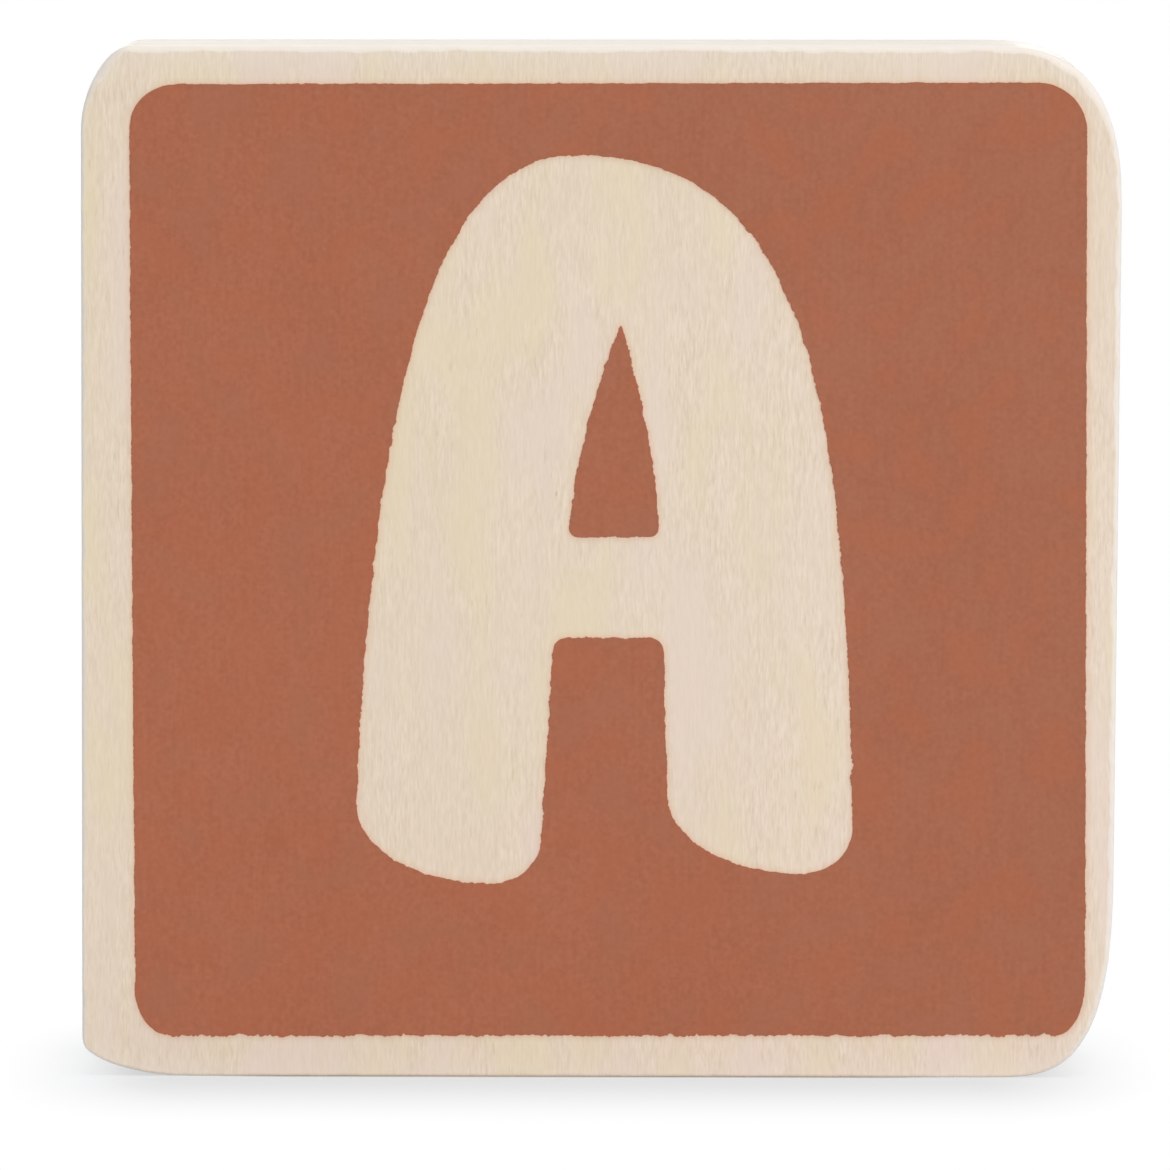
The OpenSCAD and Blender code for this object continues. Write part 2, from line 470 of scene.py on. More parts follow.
@dataclass(frozen=True)
class FloorFinish(Finish):
    """White paper that keeps the tile's shadow close to it, with a painted shadow halo and contact shadow
    there, and runs out into plain white.
    """

    paper: Colour = (0.585, 0.632, 0.672)
    bounce: Colour = (0.500, 0.440, 0.390)
    # Where the painted shadow halo lies: round the tile's foot, a little to the left and front of its middle
    middle: Triple = (-1.5 * MM, -1.5 * MM, 0.0)
    foot: Triple = (27.0 * MM, 6.0 * MM, 0.0)
    squeeze: Triple = (1.7, 1.0, 1.0)
    shadow_window: Window = (-3.0 * MM, 23.0 * MM)
    least: float = 0.51
    # The painted contact shadow along the foot: its width, where it ends along the foot, and how dark it is
    contact_shadow_window: Window = (0.7 * MM, -0.175 * MM)
    contact_shadow_run: Window = (26.0 * MM, 19.5 * MM)
    contact_shadow_weight: float = 0.88

    def paint(self, g: Graph) -> None:
        """Fills the graph with the paper, its painted contact shadow and the white that it runs out into.

        Args:
            g: The empty graph of the material.
        """
        place = g.add("ShaderNodeTexCoord")["Object"]
        from_middle = g.vector("ABSOLUTE", g.vector("SUBTRACT", place, self.middle))
        beyond = g.vector("SUBTRACT", from_middle, self.foot)
        beyond = g.vector("MULTIPLY", g.vector("MAXIMUM", beyond, (0.0, 0.0, 0.0)), self.squeeze)
        away = g.add("ShaderNodeVectorMath", {"operation": "LENGTH"}, {0: beyond})["Value"]
        sideways = g.dot(from_middle, Grain.ACROSS.value)
        # Painted contact shadow: darker paper, warmed as by painted bounce light, in a thin line along the
        # foot
        painted_contact_shadow = g.fade(away, self.contact_shadow_window) * g.fade(sideways, self.contact_shadow_run)
        tone = g.mix(painted_contact_shadow, self.paper, self.bounce)
        dull = {"Base Color": tone, "Roughness": 1.0, "Specular IOR Level": 0.0}
        paper = g.add("ShaderNodeBsdfPrincipled", None, dull)["BSDF"]
        white = g.add("ShaderNodeEmission", None, {"Strength": 1.0})["Emission"]
        # Near the foot the camera sees more of the paper, which is darker than the white beyond: the real
        # shadow there, with a painted shadow halo over it
        share = self.least + g.fade(away, self.shadow_window) * (1.0 - self.least)
        share = g.seen() * share * (1.0 - painted_contact_shadow * self.contact_shadow_weight)
        surface = g.add("ShaderNodeMixShader", None, {0: share, 1: paper, 2: white})["Shader"]
        g.add("ShaderNodeOutputMaterial", None, {"Surface": surface})


def add_object(name: str, data: bpy.types.ID) -> bpy.types.Object:
    """Puts a new object into the scene.

    Args:
        name: Name of the object.
        data: Its mesh, lamp or camera.

    Returns:
        The object, at the origin.
    """
    item = bpy.data.objects.new(name, data)
    bpy.context.scene.collection.objects.link(item)
    return item


def outline_loops(node: str, y: float) -> list[np.ndarray]:
    """Finds the closed outlines of a CAD node's faces in one upright plane.

    Args:
        node: Name of the node.
        y: Place of the plane.

    Returns:
        Loops of (x, z) points, each with the solid on its left when seen from the front.
    """
    solid = bmesh.new()
    solid.from_mesh(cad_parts[node].data)
    bmesh.ops.remove_doubles(solid, verts=solid.verts, dist=WELD)
    flat = {face for face in solid.faces if all(abs(v.co.y - y) < WELD for v in face.verts)}
    onward = {
        corner.vert: corner.link_loop_next.vert
        for face in flat
        for corner in face.loops
        if not any(other in flat for other in corner.edge.link_faces if other is not face)
    }
    loops = []
    while onward:
        start, vert = onward.popitem()
        points = [start]
        while vert is not start:
            points.append(vert)
            vert = onward.pop(vert)
        loops.append(np.array([(v.co.x, v.co.z) for v in points]))
    solid.free()
    return sorted(loops, key=lambda points: tuple(points.min(axis=0)))


def even_loop(points: np.ndarray, step: float) -> np.ndarray:
    """Spaces the points of a closed loop evenly.

    Args:
        points: Corners of the loop.
        step: Distance wanted between two points.

    Returns:
        The new points, on the sides of the loop.
    """
    first = np.lexsort((points[:, 1], points[:, 0]))[0]
    closed = np.vstack([np.roll(points, -first, axis=0), points[first]])
    run = np.concatenate([[0.0], np.cumsum(np.linalg.norm(np.diff(closed, axis=0), axis=1))])
    places = np.linspace(0.0, run[-1], round(run[-1] / step), endpoint=False)
    return np.column_stack([np.interp(places, run, closed[:, axis]) for axis in (0, 1)])


def ease_loop(values: np.ndarray, passes: int) -> np.ndarray:
    """Evens out values along a closed loop by taking each towards its neighbours.

    Args:
        values: One value or point for each place on the loop.
        passes: How often that is done.

    Returns:
        The evened values.
    """
    for _ in range(passes):
        values = (np.roll(values, 1, axis=0) + 2.0 * values + np.roll(values, -1, axis=0)) / 4.0
    return values


def outward_of(points: np.ndarray, passes: int = 2) -> np.ndarray:
    """Unit directions out of the solid along a loop that has the solid on its left.

    Args:
        points: Evenly spaced points of the loop.
        passes: How often the directions are evened out.

    Returns:
        One (x, z) direction for each point.
    """
    along = np.roll(points, -1, axis=0) - np.roll(points, 1, axis=0)
    out = ease_loop(np.column_stack([along[:, 1], -along[:, 0]]), passes)
    return out / np.linalg.norm(out, axis=1, keepdims=True)


def loop_mesh(name: str, loops: Sequence[np.ndarray], ragged: Sequence[np.ndarray] = ()) -> bpy.types.Mesh:
    """Makes a mesh of bare outlines that keeps the way out of the solid at each point.

    Args:
        name: Name of the mesh.
        loops: Evenly spaced loops of (x, z) points.
        ragged: How ragged each loop is at its points, as a length, where that is kept too.

    Returns:
        The mesh, in the plane y = 0.
    """
    points, edges, out = [], [], []
    for loop in loops:
        base, count = len(points), len(loop)
        points += [(x, 0.0, z) for x, z in loop]
        edges += [(base + i, base + (i + 1) % count) for i in range(count)]
        out += [(x, 0.0, z) for x, z in outward_of(loop)]
    mesh = bpy.data.meshes.new(name)
    mesh.from_pydata(points, edges, [])
    mesh.attributes.new("out", "FLOAT_VECTOR", "POINT").data.foreach_set("vector", np.ravel(out))
    if ragged:
        mesh.attributes.new("ragged", "FLOAT", "POINT").data.foreach_set("value", np.concatenate(ragged))
    return mesh


class Recipe:
    """A Geometry Nodes tree with named inputs that turns outlines into a closed piece."""

    KINDS = {float: "NodeSocketFloat", int: "NodeSocketInt", bpy.types.Material: "NodeSocketMaterial"}

    def __init__(self, name: str, inputs: Mapping[str, type]) -> None:
        """Starts the tree.

        Args:
            name: Name of the tree.
            inputs: Its inputs after the outline, each with its type.
        """
        self.tree = bpy.data.node_groups.new(name, "GeometryNodeTree")
        self.graph = Graph(self.tree)
        interface = self.tree.interface
        interface.new_socket("Outline", in_out="INPUT", socket_type="NodeSocketGeometry")
        for title, kind in inputs.items():
            interface.new_socket(title, in_out="INPUT", socket_type=self.KINDS[kind])
        interface.new_socket("Piece", in_out="OUTPUT", socket_type="NodeSocketGeometry")
        self.inputs = self.graph.add("NodeGroupInput")

    def curve(self) -> Socket:
        """The outlines as curves."""
        return self.graph.add("GeometryNodeMeshToCurve", None, {"Mesh": self.inputs["Outline"]})["Curve"]

    def uneven(
        self, cell: Socket, shift: float = 0.0, detail: float = 2.0, roughness: float = 0.5
    ) -> Socket:
        """Noise along the outlines, which the tree's seed sets.

        Args:
            cell: Size of its widest cells.
            shift: Moves the pattern, so that two patterns differ.
            detail: Number of finer layers.
            roughness: How much of each finer layer is left.

        Returns:
            The noise, from 0 to 1.
        """
        g = self.graph
        place = g.add("GeometryNodeInputPosition")["Position"]
        feeds = {
            "Vector": g.scaled(place, g.math("DIVIDE", 1.0, cell)),
            "W": self.inputs["Seed"] + shift,
            "Scale": 1.0,
            "Detail": detail,
            "Roughness": roughness,
        }
        return g.add("ShaderNodeTexNoise", {"noise_dimensions": "4D"}, feeds)[0]

    def kept(self, name: str, kind: str) -> Socket:
        """What the outline keeps at its points under a name."""
        node = "GeometryNodeInputNamedAttribute"
        return self.graph.add(node, {"data_type": kind}, {"Name": name})["Attribute"]

    def out(self) -> Socket:
        """The way out of the solid at each point of the outline."""
        return self.kept("out", "FLOAT_VECTOR")

    def pushed(self, curve: Socket, distance: Socket) -> Socket:
        """The curve, moved out of the solid by a distance."""
        feeds = {"Geometry": curve, "Offset": self.graph.scaled(self.out(), distance)}
        return self.graph.add("GeometryNodeSetPosition", None, feeds)["Geometry"]

    def turned(self, geometry: Socket, quarter: float, depth: Socket | None = None) -> Socket:
        """Turns a shape about X by a quarter, and moves it back.

        Args:
            geometry: The shape.
            quarter: 1 stands a flat shape up, and -1 lays it down.
            depth: Distance it moves along Y after the turn.

        Returns:
            The turned shape.
        """
        feeds = {"Geometry": geometry, "Rotation": (quarter * math.pi / 2.0, 0.0, 0.0)}
        if depth is not None:
            feeds["Translation"] = self.graph.add("ShaderNodeCombineXYZ", None, {"Y": depth})["Vector"]
        return self.graph.add("GeometryNodeTransform", None, feeds)["Geometry"]

    def sheet(self, curve: Socket, front: Socket, thickness: Socket, fill: str) -> Socket:
        """Fills outlines and gives them a thickness.

        Args:
            curve: Closed outlines in the plane y = 0.
            front: Place of the front face along Y.
            thickness: Distance from the front face to the back face.
            fill: How Fill Curve makes its faces.

        Returns:
            A closed sheet with smooth sides and crisp edges.
        """
        g = self.graph
        lying = self.turned(curve, -1.0)
        filled = g.add("GeometryNodeFillCurve", {"mode": fill}, {"Curve": lying})["Mesh"]
        back = self.turned(filled, 1.0, front + thickness)
        feeds = {"Mesh": back, "Offset": (0.0, -1.0, 0.0), "Offset Scale": thickness, "Individual": False}
        raised = g.add("GeometryNodeExtrudeMesh", {"mode": "FACES"}, feeds)
        closing = g.add("GeometryNodeFlipFaces", None, {"Mesh": back})["Mesh"]
        joined = g.add("GeometryNodeJoinGeometry")
        for part in (raised["Mesh"], closing):
            self.tree.links.new(part.raw, joined.node.inputs[0])
        feeds = {"Geometry": joined["Geometry"], "Distance": WELD}
        welded = g.add("GeometryNodeMergeByDistance", None, feeds)["Geometry"]
        feeds = {"Geometry": welded, "Shade Smooth": True}
        smooth = g.add("GeometryNodeSetShadeSmooth", None, feeds)["Geometry"]
        crisp = g.add("GeometryNodeInputMeshEdgeAngle")["Unsigned Angle"].math("GREATER_THAN", CRISP)
        feeds = {"Geometry": smooth, "Selection": crisp, "Shade Smooth": False}
        return g.add("GeometryNodeSetShadeSmooth", {"domain": "EDGE"}, feeds)["Geometry"]

    def end(self, geometry: Socket) -> None:
        """Ends the tree with real meshes and their material.

        Args:
            geometry: The finished shape.
        """
        g = self.graph
        real = g.add("GeometryNodeRealizeInstances", None, {"Geometry": geometry})["Geometry"]
        feeds = {"Geometry": real, "Material": self.inputs["Material"]}
        dressed = g.add("GeometryNodeSetMaterial", None, feeds)["Geometry"]
        g.add("NodeGroupOutput", None, {"Piece": dressed})

    def make(self, name: str, outline: bpy.types.Mesh, values: Mapping[str, object]) -> bpy.types.Object:
        """Runs the tree on outlines.

        Args:
            name: Name of the piece.
            outline: The outlines.
            values: Values of the tree's inputs.

        Returns:
            The piece, with a plain mesh.
        """
        piece = add_object(name, outline)
        modifier = piece.modifiers.new(self.tree.name, "NODES")
        modifier.node_group = self.tree
        for item in self.tree.interface.items_tree:
            if item.name in values:
                modifier[item.identifier] = values[item.name]
        made = piece.evaluated_get(bpy.context.evaluated_depsgraph_get())
        mesh = bpy.data.meshes.new_from_object(made)
        piece.modifiers.remove(modifier)
        piece.data = mesh
        mesh.name = name
        return piece


def sheet_recipe() -> Recipe:
    """A row of like sheets cut to one outline, each edge sanded a little uneven.

    Returns:
        The tree.
    """
    lengths = ("Front", "Thickness", "Pitch", "Drawn In", "Uneven", "Uneven Length")
    inputs = {**dict.fromkeys(lengths, float), "Seed": float, "Count": int, "Material": bpy.types.Material}
    recipe = Recipe("Ply Sheet", inputs)
    g, given = recipe.graph, recipe.inputs
    inward = given["Drawn In"] + given["Uneven"] * recipe.uneven(given["Uneven Length"])
    cut = recipe.pushed(recipe.curve(), inward * -1.0)
    sheet = recipe.sheet(cut, given["Front"], given["Thickness"], "NGONS")
    pitch = g.add("ShaderNodeCombineXYZ", None, {"Y": given["Pitch"]})["Vector"]
    feeds = {"Count": given["Count"], "Offset": pitch}
    row = g.add("GeometryNodeMeshLine", {"mode": "OFFSET"}, feeds)["Mesh"]
    copies = g.add("GeometryNodeInstanceOnPoints", None, {"Points": row, "Instance": sheet})["Instances"]
    recipe.end(copies)
    return recipe


class InkEdge(Recipe):
    """A tree that follows the edge of the print, where ink crept along the fibres."""

    SHARED = ("Front", "Thickness", "Step", "Wave", "Patch", "Burr", "Burr Length", "Seed")
    # How much of each finer layer of noise is left
    ROUGHNESS = 0.85
    WAVE_DETAIL = 4.0
    PATCH_DETAIL = 1.0
    # Shifts that set the patches and burrs apart from the waves
    PATCH_SHIFT = 3.0
    BURR_SHIFT = 7.0
    # How much more the ink crept in some patches
    PATCHINESS = 1.8
    # Noise that strays less than this from its middle makes no burr
    BURR_FLOOR = 0.26

    def __init__(self, name: str, more: Mapping[str, type]) -> None:
        """Starts the tree.

        Args:
            name: Name of the tree.
            more: Inputs beyond the shared ones, each with its type.
        """
        super().__init__(name, {**dict.fromkeys(self.SHARED, float), **more, "Material": bpy.types.Material})

    def crept(self) -> Socket:
        """The outlines with the edge that the ink took.

        Returns:
            Finely stepped curves in the plane y = 0.
        """
        given, rough = self.inputs, self.ROUGHNESS
        feeds = {"Curve": self.curve(), "Length": given["Step"]}
        fine = self.graph.add("GeometryNodeResampleCurve", {"mode": "LENGTH"}, feeds)["Curve"]
        waves = self.uneven(given["Wave"], 0.0, self.WAVE_DETAIL, rough) - MIDDLE
        patches = self.uneven(given["Patch"], self.PATCH_SHIFT, self.PATCH_DETAIL, rough)
        burrs = self.uneven(given["Burr Length"], self.BURR_SHIFT, 0.0) - MIDDLE
        outer = (burrs - self.BURR_FLOOR).math("MAXIMUM", 0.0)
        inner = (-self.BURR_FLOOR - burrs).math("MAXIMUM", 0.0)
        creep = waves * (1.0 + patches.swing(self.PATCHINESS)) + given["Burr"] * (outer - inner)
        return self.pushed(fine, self.kept("ragged", "FLOAT") * creep)


def print_recipe() -> InkEdge:
    """A film of ink inside crept outlines.

    Returns:
        The tree.
    """
    recipe = InkEdge("Ink Film", {})
    given = recipe.inputs
    recipe.end(recipe.sheet(recipe.crept(), given["Front"], given["Thickness"], "TRIANGLES"))
    return recipe


def bleed_recipe() -> InkEdge:
    """A rim of wood round the ink that its oil stained, strongest at the ink.

    Returns:
        The tree, which keeps the strength as "bleed" at the points.
    """
    recipe = InkEdge("Ink Bleed", {"Width": float})
    g, given = recipe.graph, recipe.inputs
    lying = recipe.turned(recipe.crept(), -1.0)
    feeds = {"Vector": recipe.out(), "Angle": -math.pi / 2.0}
    out = g.add("ShaderNodeVectorRotate", {"rotation_type": "X_AXIS"}, feeds)["Vector"]
    feeds = {"Curve": lying, "Normal": out}
    path = g.add("GeometryNodeSetCurveNormal", {"mode": "FREE"}, feeds)["Curve"]
    feeds = {"Width": given["Width"], "Height": given["Thickness"]}
    block = g.add("GeometryNodeCurvePrimitiveQuadrilateral", {"mode": "RECTANGLE"}, feeds)["Curve"]
    middle = g.add("ShaderNodeCombineXYZ", None, {"X": given["Width"] * 0.5})["Vector"]
    block = g.add("GeometryNodeTransform", None, {"Geometry": block, "Translation": middle})["Geometry"]
    across = g.add("ShaderNodeSeparateXYZ", None, {0: g.add("GeometryNodeInputPosition")["Position"]})["X"]
    kept = {"data_type": "FLOAT", "domain": "POINT"}
    feeds = {"Geometry": block, "Name": "bleed", "Value": 1.0 - across.math("DIVIDE", given["Width"])}
    block = g.add("GeometryNodeStoreNamedAttribute", kept, feeds)["Geometry"]
    rim = g.add("GeometryNodeCurveToMesh", None, {"Curve": path, "Profile Curve": block})["Mesh"]
    rim = g.add("GeometryNodeSetShadeSmooth", None, {"Geometry": rim, "Shade Smooth": False})["Geometry"]
    recipe.end(recipe.turned(rim, 1.0, given["Front"] + given["Thickness"] * 0.5))
    return recipe


def add_piece(piece: bpy.types.Object, nodes: Sequence[str] = ()) -> None:
    """Hands a finished piece to the frame and reports it.

    Args:
        piece: The piece, in its place.
        nodes: CAD nodes that it stands for.
    """
    if nodes:
        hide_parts(*nodes)
    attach(piece, BODY)
    stands_for = ", ".join(nodes) or "nothing"
    LOG.info("%s: %d faces, stands for %s", piece.name, len(piece.data.polygons), stands_for)


@dataclass(frozen=True)
class EdgeWear:
    """How far the edge of a face is sanded round, by the side of the block."""

    plain: float = 0.36 * MM
    left: float = 0.24 * MM
    right: float = 0.33 * MM
    top_left: float = 0.62 * MM
    top_right: float = 0.62 * MM
    under: float = 0.19 * MM
    uneven: float = 0.16 * MM
    uneven_length: float = 1.5 * MM
    uneven_layers: int = 5
    layer_fall: float = 1.0
    layer_ratio: float = 2.0
    even_below: float = 0.7
    least: float = 0.12 * MM
    corner_focus: int = 8

    def radii(self, ring: np.ndarray, out: np.ndarray) -> np.ndarray:
        """Radius of the rounded edge at each point of the block's outline.

        Args:
            ring: The outline.
            out: The way out of the block at its points.

        Returns:
            One radius for each point.
        """
        rightward = np.clip(out[:, 0], 0.0, 1.0) ** 2
        leftward = np.clip(-out[:, 0], 0.0, 1.0) ** 2
        downward = np.clip(-out[:, 1], 0.0, 1.0) ** 2
        radius = self.plain + (self.right - self.plain) * rightward
        radius = radius + (self.left - self.plain) * leftward
        for side, corner in ((-1.0, self.top_left), (1.0, self.top_right)):
            diagonal = (out[:, 1] + side * out[:, 0]) * math.sqrt(0.5)
            radius = radius + (corner - radius) * np.clip(diagonal, 0.0, 1.0) ** self.corner_focus
        radius = radius + (self.under - radius) * downward
        places = [Vector((x, 0.0, z)) / self.uneven_length for x, z in ring]
        layers = (self.layer_fall, self.layer_ratio, self.uneven_layers)
        wander = np.array([noise.fractal(place, *layers) for place in places])
        return np.maximum(radius + self.uneven * wander * (1.0 - self.even_below * downward), self.least)


@dataclass(frozen=True)
class FaceVeneer:
    """A face veneer whose outer edge is sanded round."""

    node: str
    wear: EdgeWear = EdgeWear()
    round_steps: int = 7
    break_angle: float = math.radians(22.0)
    break_width: float = 0.04 * MM
    reach: float = 1.4 * MM
    reach_steps: int = 6
    # Painted highlight that reaches in from the edges: full on top, weaker below and on the right, none on
    # the left
    painted_highlight: float = 0.20
    highlight_below: float = 0.8
    highlight_right: float = 0.3
    edge_tint: float = 0.90
    worn_power: float = 1.2
    # Painted shade: the bottom round edge keeps less of the sanded pale, so it reads darker
    painted_shade_below: float = 0.8
    painted_shade_focus: int = 4
    inward_passes: int = 24

    def build(self, ring: np.ndarray, outer: float, inner: float) -> bpy.types.Object:
        """Lofts the veneer from its flat face over the round edge to its glued face.

        Args:
            ring: Evenly spaced outline of the block.
            outer: Place of the flat outer face along Y.
            inner: Place of the glued face along Y.

        Returns:
            The piece, which keeps as "sanded" its sanded pale, with painted highlight in from the top,
            bottom and right edges and painted shade on the bottom edge.
        """
        out = outward_of(ring)
        inward = -outward_of(ring, self.inward_passes)
        radius = self.wear.radii(ring, out)
        side = math.copysign(1.0, inner - outer)
        still = np.zeros(len(ring))
        up, right = np.clip(out[:, 1], 0.0, 1.0), np.clip(out[:, 0], 0.0, 1.0)
        down = np.clip(-out[:, 1], 0.0, 1.0)
        # Painted highlight: pale reaching in from the top, bottom and right edges, where light falls
        highlighted = self.painted_highlight * (up**2 + self.highlight_below * down**2 + self.highlight_right * right**2)
        rings = []
        for step in range(self.reach_steps):
            near = step / self.reach_steps
            rings.append((radius + self.reach * (1.0 - near), still, highlighted * near))
        rings.append((radius + self.break_width, still, highlighted))
        first = self.break_angle
        for step in range(self.round_steps + 1):
            turn = first + (math.pi / 2.0 - first) * step / self.round_steps
            inset = (1.0 - math.sin(turn)) / (1.0 - math.sin(first))
            depth = math.cos(first) - math.cos(turn)
            # Sanded pale on the round edge, less on the bottom edge as painted shade
            paleness = math.sin(turn) ** self.worn_power * (1.0 - self.painted_shade_below * down**self.painted_shade_focus)
            rings.append((radius * inset, radius * depth, highlighted + (1.0 - highlighted) * paleness))
        rings.append((still, still + abs(inner - outer), still + self.edge_tint))
        points, sanded = [], []
        for inset, depth, paleness in rings:
            flat = ring + inward * inset[:, None]
            points.append(np.column_stack([flat[:, 0], outer + side * depth, flat[:, 1]]))
            sanded.append(paleness)
        mesh = self._loft(np.array(points))
        mesh.attributes.new("sanded", "FLOAT", "POINT").data.foreach_set("value", np.concatenate(sanded))
        return add_object(mesh.name, mesh)

    def _loft(self, rings: np.ndarray) -> bpy.types.Mesh:
        """Joins rings into a closed mesh.

        Args:
            rings: Rings of equal counts, from one face to the other.

        Returns:
            The mesh, with outward normals and smooth sides.
        """
        levels, count = rings.shape[:2]
        faces = [
            (level * count + i, level * count + (i + 1) % count,
             (level + 1) * count + (i + 1) % count, (level + 1) * count + i)
            for level in range(levels - 1)
            for i in range(count)
        ]
        caps = [list(range(count)), list(range((levels - 1) * count, levels * count))]
        mesh = bpy.data.meshes.new(f"{self.node}_sanded")
        mesh.from_pydata(rings.reshape(-1, 3), [], faces + caps)
        shell = bmesh.new()
        shell.from_mesh(mesh)
        bmesh.ops.recalc_face_normals(shell, faces=shell.faces)
        for face in shell.faces:
            face.smooth = True
        for edge in shell.edges:
            edge.smooth = edge.calc_face_angle() < CRISP
        shell.to_mesh(mesh)
        shell.free()
        return mesh

    def dress(self, piece: bpy.types.Object, wood: bpy.types.Material) -> None:
        """Gives the veneer its wood and hands it in."""
        piece.data.materials.append(wood)
        add_piece(piece, [self.node])


@dataclass(frozen=True)
class PlyCore:
    """The plies between the face veneers and the glue lines on both sides of each."""

    crossbands: tuple[str, ...] = tuple(f"crossband_{i}" for i in range(1, 6))
    long_plies: tuple[str, ...] = tuple(f"long_ply_{i}" for i in range(1, 5))
    uneven: float = 0.03 * MM
    uneven_length: float = 3.5 * MM
    glue_drawn_in: float = 0.02 * MM

    def order(self) -> list[str]:
        """Names of the plies from front to back."""
        return sorted(self.crossbands + self.long_plies, key=lambda node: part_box(node)[0].y)

    def build(
        self, ring: np.ndarray, woods: Mapping[Grain, bpy.types.Material], glue: bpy.types.Material
    ) -> None:
        """Cuts the plies and the glue lines and hands them in.

        Args:
            ring: Evenly spaced outline of the block.
            woods: Materials of the plies by the way their grain runs.
            glue: Material of the glue lines.
        """
        recipe = sheet_recipe()
        plies = self.order()
        shared = {"Uneven": self.uneven, "Uneven Length": self.uneven_length}
        for number, node in enumerate(plies):
            low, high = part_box(node)
            crossed = node in self.crossbands
            values = {
                **shared,
                "Front": low.y,
                "Thickness": high.y - low.y,
                "Seed": float(number),
                "Count": 1,
                "Material": woods[Grain.ACROSS if crossed else Grain.UP],
            }
            piece = recipe.make(f"{node}_sheet", loop_mesh(node, [ring]), values)
            add_piece(piece, [node])
        front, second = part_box(plies[0])[0].y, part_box(plies[1])[0].y
        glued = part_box("glue_films")[0].y
        values = {
            **shared,
            "Front": glued,
            "Thickness": front - glued,
            "Pitch": second - front,
            "Drawn In": self.glue_drawn_in,
            "Seed": float(len(plies)),
            "Count": len(plies) + 1,
            "Material": glue,
        }
        add_piece(recipe.make("glue_lines", loop_mesh("glue_lines", [ring]), values), ["glue_films"])


@dataclass(frozen=True)
class Print:
    """The printed panel, the eye of its letter and the stained rim of the wood round both."""

    panel: str = "ink_panel"
    eye: str = "ink_eye"
    outline_step: float = 0.25 * MM
    outline_passes: int = 1
    step: float = 0.06 * MM
    ragged: float = 0.41 * MM
    ragged_below: float = 1.20 * MM
    ragged_letter: float = 0.74 * MM
    letter_share: float = 0.9
    tight: float = 1.1 * MM
    tight_passes: int = 3
    corner_calm: float = 0.8
    wave: float = 1.3 * MM
    patch: float = 9.0 * MM
    burr: float = 1.7
    burr_length: float = 0.50 * MM
    rim: float = 0.46 * MM
    rim_film: float = 0.004 * MM
    seed: float = 9.0

    def _loops(self, node: str) -> list[np.ndarray]:
        """Finds the outlines of the front of an ink node.

        Args:
            node: Name of the node.

        Returns:
            Evenly spaced loops of (x, z) points.
        """
        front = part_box(node)[0].y
        evened = [even_loop(loop, self.outline_step) for loop in outline_loops(node, front)]
        return [ease_loop(loop, self.outline_passes) for loop in evened]

    def _ragged(self, loop: np.ndarray, widest: float) -> np.ndarray:
        """How ragged the ink's edge is at the points of an outline.

        Args:
            loop: The outline.
            widest: Width of the whole print; a narrower outline belongs to the letter.

        Returns:
            One length for each point.
        """
        out = outward_of(loop)
        if np.ptp(loop[:, 0]) < widest * self.letter_share:
            turning = np.linalg.norm(np.roll(out, -1, axis=0) - np.roll(out, 1, axis=0), axis=1)
            bend = np.clip(self.tight * turning / (2.0 * self.outline_step), 0.0, 1.0)
            return self.ragged_letter * (1.0 - self.corner_calm * ease_loop(bend, self.tight_passes))
        below = np.clip(-out[:, 1], 0.0, 1.0) ** 2
        cornered = 2.0 * np.abs(out[:, 0] * out[:, 1])
        ragged = self.ragged + (self.ragged_below - self.ragged) * below
        return ragged * (1.0 - self.corner_calm * cornered)

    def build(self, ink: bpy.types.Material, wood: bpy.types.Material) -> None:
        """Prints the panel and the eye, stains the wood round them and hands them in.

        Args:
            ink: Material of the ink.
            wood: Material of the veneer under it.
        """
        film = print_recipe()
        # The ink and its rim share these, so that they meet
        edge = {
            "Step": self.step,
            "Wave": self.wave,
            "Patch": self.patch,
            "Burr": self.burr,
            "Burr Length": self.burr_length,
            "Seed": self.seed,
        }
        names = {self.panel: "printed_panel", self.eye: "printed_eye"}
        loops = {node: self._loops(node) for node in names}
        low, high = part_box(self.panel)
        ragged = {node: [self._ragged(loop, high.x - low.x) for loop in loops[node]] for node in names}
        for node, name in names.items():
            low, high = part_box(node)
            values = {**edge, "Front": low.y, "Thickness": high.y - low.y, "Material": ink}
            add_piece(film.make(name, loop_mesh(name, loops[node], ragged[node]), values), [node])
        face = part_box(self.panel)[1].y
        values = {
            **edge,
            "Front": face - self.rim_film,
            "Thickness": self.rim_film,
            "Width": self.rim,
            "Material": wood,
        }
        outline = loop_mesh("print_rim", sum(loops.values(), []), sum(ragged.values(), []))
        add_piece(bleed_recipe().make("print_rim", outline, values))


def aim(item: bpy.types.Object, target: Triple, azimuth: float, elevation: float, distance: float) -> None:
    """Points a lamp or camera at the tile.

    Args:
        item: The lamp or camera.
        target: Point that it faces.
        azimuth: Degrees to the right of the front.
        elevation: Degrees above the floor.
        distance: How far it stands from the target.
    """
    turn, rise = math.radians(azimuth), math.radians(elevation)
    back = Vector((math.sin(turn) * math.cos(rise), -math.cos(turn) * math.cos(rise), math.sin(rise)))
    item.location = Vector(target) + back * distance
    item.rotation_euler = back.to_track_quat("Z", "Y").to_euler()


@dataclass(frozen=True)
class Softbox:
    """A soft studio lamp that faces the tile."""

    name: str
    azimuth: float
    elevation: float
    distance: float
    size: float
    power: float

    def place(self, target: Triple) -> None:
        """Sets the lamp up.

        Args:
            target: Point that it faces.
        """
        lamp = bpy.data.lights.new(self.name, "AREA")
        lamp.shape = "DISK"
        lamp.size = self.size
        lamp.energy = self.power
        aim(add_object(self.name, lamp), target, self.azimuth, self.elevation, self.distance)


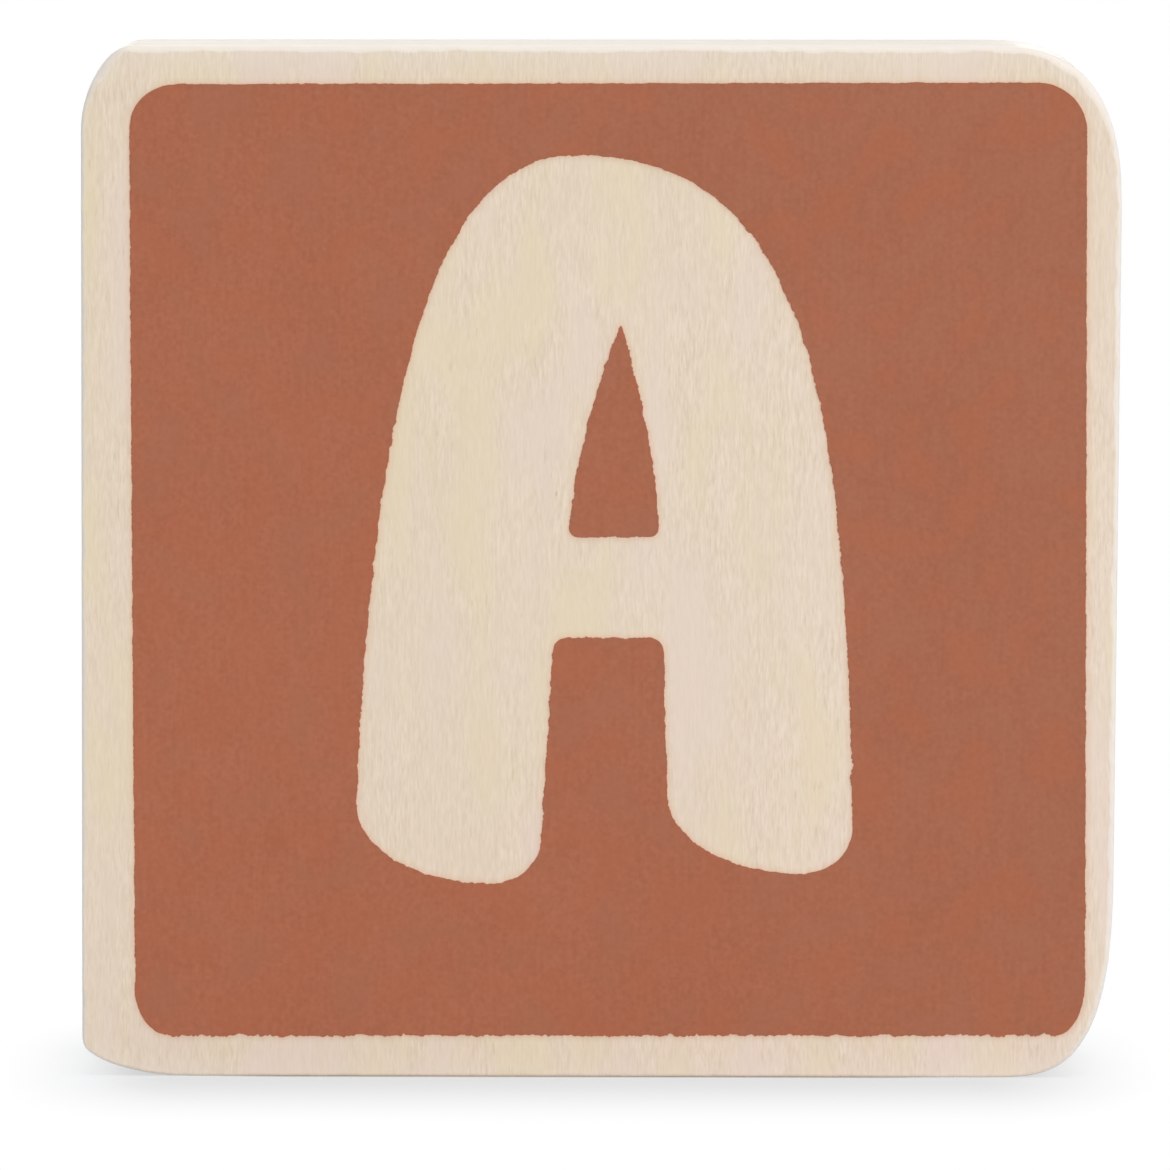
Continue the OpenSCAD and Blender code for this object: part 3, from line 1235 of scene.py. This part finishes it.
@dataclass(frozen=True)
class Studio:
    """A white floor, soft light and the camera."""

    floor_size: float = 16.0
    sky: float = 0.40
    lamps: tuple[Softbox, ...] = (
        Softbox("top_lamp", azimuth=60.0, elevation=80.0, distance=4.0, size=3.0, power=79.0),
        Softbox("front_lamp", azimuth=22.0, elevation=3.0, distance=0.9, size=0.12, power=3.80),
        Softbox("back_lamp", azimuth=205.0, elevation=20.0, distance=1.0, size=0.5, power=4.9),
    )
    target: Triple = (-1.10 * MM, 0.0, 32.805 * MM)
    azimuth: float = 0.885
    elevation: float = 5.10
    distance: float = 630.0 * MM
    lens: float = 283.8
    sensor: float = 36.0
    clip: Window = (0.01, 100.0)

    def build(self) -> None:
        """Sets up the floor, the sky, the lamps and the camera."""
        self._floor()
        self._sky()
        for lamp in self.lamps:
            lamp.place(self.target)
        self._camera()
        bpy.context.scene.view_settings.view_transform = "Standard"

    def _floor(self) -> None:
        """Lays the floor that the tile stands on."""
        half = self.floor_size / 2.0
        corners = [(-half, -half, 0.0), (half, -half, 0.0), (half, half, 0.0), (-half, half, 0.0)]
        mesh = bpy.data.meshes.new("floor")
        mesh.from_pydata(corners, [], [(0, 1, 2, 3)])
        mesh.materials.append(FloorFinish("floor_paper").material())
        floor = add_object("floor", mesh)

    def _sky(self) -> None:
        """Surrounds the tile with even light that looks white behind it."""
        world = bpy.data.worlds.new("studio")
        world.use_nodes = True
        world.node_tree.nodes.clear()
        g = Graph(world.node_tree)
        strength = self.sky + g.seen() * (1.0 - self.sky)
        light = g.add("ShaderNodeBackground", None, {"Color": (1.0, 1.0, 1.0, 1.0), "Strength": strength})
        g.add("ShaderNodeOutputWorld", None, {"Surface": light["Background"]})
        bpy.context.scene.world = world

    def _camera(self) -> None:
        """Points the camera as the photograph was taken."""
        lens = bpy.data.cameras.new("camera")
        lens.sensor_width = self.sensor
        lens.lens = self.lens
        lens.clip_start, lens.clip_end = self.clip
        camera = add_object("camera", lens)
        aim(camera, self.target, self.azimuth, self.elevation, self.distance)
        bpy.context.scene.camera = camera


@dataclass(frozen=True)
class LetterTile:
    """The whole block: two face veneers, the plies between them and the print."""

    ring_step: float = 0.25 * MM
    ring_passes: int = 3
    front: FaceVeneer = FaceVeneer("front_veneer")
    back: FaceVeneer = FaceVeneer("back_veneer", EdgeWear(right=0.45 * MM, top_right=0.5 * MM))
    core: PlyCore = PlyCore()
    printing: Print = Print()

    def ring(self) -> np.ndarray:
        """Finds the outline of the block on its first inner ply.

        Returns:
            Evenly spaced (x, z) points.
        """
        node = self.core.order()[0]
        loop = outline_loops(node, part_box(node)[0].y)[0]
        return ease_loop(even_loop(loop, self.ring_step), self.ring_passes)

    def build(self) -> None:
        """Builds and dresses every piece."""
        ring = self.ring()
        face_wood = WoodFinish("face_wood", Grain.UP).material()
        woods = {
            Grain.UP: PlyEdgeFinish("long_wood", Grain.UP).material(),
            Grain.ACROSS: PlyEdgeFinish("cross_wood", Grain.ACROSS).material(),
        }
        low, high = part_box(self.front.node)
        self.front.dress(self.front.build(ring, low.y, high.y), face_wood)
        self.core.build(ring, woods, GlueFinish("glue").material())
        low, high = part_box(self.back.node)
        self.back.dress(self.back.build(ring, high.y, low.y), face_wood)
        self.printing.build(InkFinish("ink").material(), face_wood)


def main() -> None:
    """Builds the tile and the studio."""
    logging.basicConfig(level=logging.INFO, format="%(name)s: %(message)s")
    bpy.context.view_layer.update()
    LetterTile().build()
    Studio().build()


if __name__ == "__main__":
    main()
